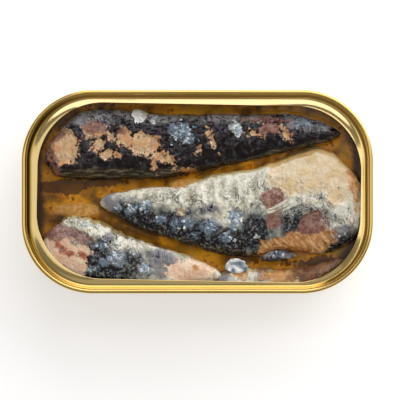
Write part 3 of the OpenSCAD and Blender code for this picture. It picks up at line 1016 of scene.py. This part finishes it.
def skin_flake():
    """A loose flake of silver skin, torn and crumpled, lying in the oil."""
    low, high = box_mm("skin_flake")
    around = 120
    angles = np.linspace(0, 2 * math.pi, around, endpoint=False)
    edge = np.column_stack([np.cos(angles), np.sin(angles)])
    corners = lumps(at_height(edge * 2.2), 1.0, 12)
    rings = flake_rings(edge * ((0.96 + 0.28 * corners)[:, None] * (high - low)[:2] / 2))
    points = np.concatenate(rings) + [*(low + high)[:2] / 2, high[2] - 0.75]
    index = np.arange(len(points)).reshape(-1, around)
    a, b = index[:-1], index[1:]
    faces = np.stack([a, b, np.roll(b, -1, 1), np.roll(a, -1, 1)], axis=-1).reshape(-1, 4)
    faces = faces.tolist() + [index[0].tolist(), index[-1][::-1].tolist()]
    piece = new_piece("silver_scrap", points, faces, sharp=60)
    crease = 1 - 2 * np.abs(lumps(points, 1.9, 3))
    set_field(piece.data, "tint", np.clip(0.6 + 0.55 * crease, 0, 1))
    return piece, points


# ---- Oil and what is sunk in it --------------------------

# How far over the oil's own underside its redrawn body starts
OIL_CORE = 12

# Mounds of the lower fish that come up near the oil's surface:
# (along, across, half length, half width, turn, height of the crest below the surface)
MOUNDS = [
    (-36, -5.6, 10, 3.2, 0, 0.5), (-4, 2.2, 7, 3.0, 15, 0.6), (-18, -12.6, 13, 2.6, -20, 2.4),
    (0, -18, 8, 4.0, -10, 2.6), (38, -19.4, 8, 2.2, 5, 2.2), (-36, 1.2, 9, 2.6, 5, 2.8),
    (-34, -1.6, 8, 1.8, -5, 2.2), (12, 8, 12, 2.2, 20, 1.6), (44, 14.5, 6, 3.0, -40, 3.0),
]

# Where dark scraps have settled
SCRAPS = [
    (-40, 1.6, 8, 2.0, 4), (-28, 2.8, 8, 1.2, 4), (-8, 5.6, 8, 0.8, 8), (36, -21, 8, 1.2, 8),
    (14, -19.5, 5, 1.0, -10),
]


def inside_grid(step):
    """Rows of points over the whole inside of the tin, its outline among them."""
    length, width = INSIDE_SIZE
    radius = CORNER - INSIDE
    middle = length / 2 - radius
    turns = np.radians(np.linspace(0, 90, int(1.35 * radius / step)))
    corner = middle + radius * np.sin(turns[1:])
    straight = np.linspace(-middle, middle, int(2 * middle / step))
    columns = np.concatenate([-corner[::-1], straight, corner])
    past = np.maximum(np.abs(columns) - middle, 0)
    reach = width / 2 - radius + np.sqrt(np.maximum(radius**2 - past**2, 0))
    shares = np.linspace(-1, 1, int(width / step))
    x = np.repeat(columns, len(shares))
    y = np.outer(reach, shares).ravel()
    return np.column_stack([x, y]), len(columns), len(shares)


def filled(name, flat, columns, rows, heights, low):
    """A solid under a grid of heights, with plumb sides and a flat underside."""
    index = np.arange(columns * rows).reshape(columns, rows)
    a, b = index[:-1, :-1].ravel(), index[1:, :-1].ravel()
    faces = np.column_stack([a, b, b + 1, a + 1]).tolist()
    rim = np.concatenate([index[:, 0], index[-1, 1:], index[-2::-1, -1], index[0, -2:0:-1]])
    under = columns * rows + np.arange(len(rim))
    following = np.roll(np.arange(len(rim)), -1)
    faces += np.column_stack([rim, under, under[following], rim[following]]).tolist()
    faces.append(under[::-1].tolist())
    points = np.concatenate([at_height(flat, heights), at_height(flat[rim], low)])
    return new_piece(name, points, faces)


def oil_surface(tree):
    """The oil, drawn up a little where it wets the fish and the wall."""
    flat, columns, rows = inside_grid(0.42)
    away, top = np.empty(len(flat)), np.full(len(flat), -1.0)
    for i, (x, y) in enumerate(flat.tolist()):
        away[i] = tree.find_nearest(Vector((x, y, OIL_LEVEL)))[3]
        hit = drop(tree, x, y)[0]
        if hit is not None:
            top[i] = hit.z
    climb, film = 0.22, 0.12
    drawn_up = climb * np.exp(-away / 0.35) + 0.5 * np.exp(-inside_wall(flat) / 0.5)
    under_fish = np.minimum(climb, np.maximum(top - OIL_LEVEL - film, 0))
    drawn_up = np.where(top > OIL_LEVEL, under_fish, drawn_up)
    return filled("oil_fill", flat, columns, rows, OIL_LEVEL + drawn_up, OIL_LOW[2] + OIL_CORE)


def sunken_layer():
    """The tops of the lower fish, seen through the oil."""
    flat, columns, rows = inside_grid(0.6)
    points = at_height(flat)
    heights = OIL_LEVEL - 3.9 + 0.7 * rough(points * (0.5, 1, 1), 6.0, 4)
    drifted = points + wander(points, 3, 5, 6) * 1.2
    for x, y, along, across, turn, depth in MOUNDS:
        inside = cover(drifted, [(x, y, along, across, turn)])
        crest = OIL_LEVEL - depth + 0.25 * rough(points, 2.0, 8)
        heights += (crest - heights) * ease(inside, -0.6, 1.4)
    shelf = 1 - 0.9 * ease(flat[:, 1], 16, 23)
    beside_wall = 1 - ease(inside_wall(flat), 2.2, 5.2)
    heights -= 3.5 * beside_wall * (heights < OIL_LEVEL - 1) * shelf
    low = OIL_LOW[2] + OIL_CORE - 1
    piece = filled("sunken_fish", flat, columns, rows, heights, low)
    below = np.zeros(len(piece.data.vertices) - len(flat))
    sunk = 1 - np.exp(-np.maximum(OIL_LEVEL - heights, 0) / 1.5)
    set_field(piece.data, "sunk", np.concatenate([sunk, below]))
    settled = ease(cover(drifted, SCRAPS), -1.0, 0.8)
    set_field(piece.data, "scraps", np.concatenate([settled, below]))
    return piece


# ---- Making it -------------------------------------------

finish_piece(lid_ring(), "gold_rim", gold_lacquer("gold_rim_lacquer"), "lid_ring")
finish_piece(tin_body(), "gold_tinplate", gold_lacquer("gold_wall_lacquer"), "tin_body")

skin = sardine("sardine_skin")
pale_skin = sardine("pale_sardine_skin", BELLY_FLESH, BELLY_FLESH_PALE, soft=0.7, speckle=0.6)
pink_skin = sardine(
    "pink_sardine_skin", PINK_FLESH, PINK_FLESH_PALE, soft=0.35, speckle=0.7, blood=BLOOD
)

# Each fish: (node, piece, places of its layers, height of its folds, slot, finish)
FISH = [
    ("sardine_back", "back_sardine", BACK_PLACES, 0.3, "dark_sardine", skin),
    ("sardine_middle", "middle_sardine", MIDDLE_PLACES, 0.75, "silver_sardine", pale_skin),
    ("sardine_front", "front_sardine", FRONT_PLACES, 0.6, "mottled_sardine", pink_skin),
    ("sardine_lower", "lower_sardine", LOWER_PLACES, 0.2, "sunk_sardine", skin),
    ("broken_piece", "broken_scrap", BROKEN_PLACES, 0.3, "broken_flesh", skin),
]
flesh = []
for node, name, places, fold, slot, material in FISH:
    piece, points = fish(node, name, places, fold)
    finish_piece(piece, slot, material, node)
    flesh.append((piece, points))

scales = scale_silver("scale_silver")
flesh.append(skin_flake())
finish_piece(flesh[-1][0], "loose_skin", scales, "skin_flake")
tree = closest(flesh)
finish_piece(loose_scales(tree), "silver_sardine", scales)
finish_piece(membrane_threads(tree), "silver_sardine", membrane_white("membrane_white"))
finish_piece(oil_surface(tree), "oil", clear_oil("clear_amber_oil"), "oil")
finish_piece(sunken_layer(), "sunk_sardine", sunken_flesh("sunken_flesh"))


# ---- Studio ----------------------------------------------

def softbox(name, place, aim, size, power, colour=(1, 1, 1)):
    """A soft rectangular light at place, turned to aim, in metres and watts."""
    light = bpy.data.lights.new(name, "AREA")
    light.shape, light.size, light.size_y = "RECTANGLE", *size
    light.energy, light.color = power, colour
    lamp = add_object(name, light)
    lamp.location = place
    lamp.rotation_euler = (Vector(aim) - Vector(place)).to_track_quat("-Z", "Y").to_euler()


tin_middle = (0, 0, RIM_TOP * MM)
softbox("back_panel", (0.5, 0.85, 0.55), tin_middle, (2.0, 1.1), 14)
softbox("back_card", (0.0, 0.40, 1.08), tin_middle, (1.2, 0.24), 1.55, (0.86, 0.83, 1.0))
softbox("right_card", (0.42, 0.0, 1.08), tin_middle, (0.24, 0.8), 0.70)
softbox("left_card", (-0.42, 0.0, 1.08), tin_middle, (0.24, 0.8), 0.44)
softbox("front_card", (0.0, -0.45, 1.08), tin_middle, (0.8, 0.24), 0.12)

world = bpy.data.worlds.new("studio")
world.use_nodes = True
background = world.node_tree.nodes["Background"]
background.inputs["Color"].default_value = (1, 0.95, 0.84, 1)
background.inputs["Strength"].default_value = 0.25
bpy.context.scene.world = world

FLOOR_REACH = 4000
floor_corners = [(x * FLOOR_REACH, y * FLOOR_REACH, 0) for x, y in ((-1, -1), (1, -1), (1, 1), (-1, 1))]
floor = new_piece("floor", floor_corners, [(0, 1, 2, 3)])
floor.data.materials.append(studio_floor("pale_floor"))

# The camera looks straight down from a metre above the rim, a little off the middle
FRAME_WIDTH = 119.4 * MM
CAMERA_HEIGHT = 1.0
CAMERA_SHIFT = (0.8 * MM, -2.45 * MM)
lens = bpy.data.cameras.new("camera")
lens.sensor_width = 36
lens.lens = lens.sensor_width * CAMERA_HEIGHT / FRAME_WIDTH
lens.clip_start, lens.clip_end = 0.05, 20
camera = add_object("camera", lens)
camera.location = (*CAMERA_SHIFT, RIM_TOP * MM + CAMERA_HEIGHT)
bpy.context.scene.camera = camera
bpy.context.scene.view_settings.view_transform = "Standard"
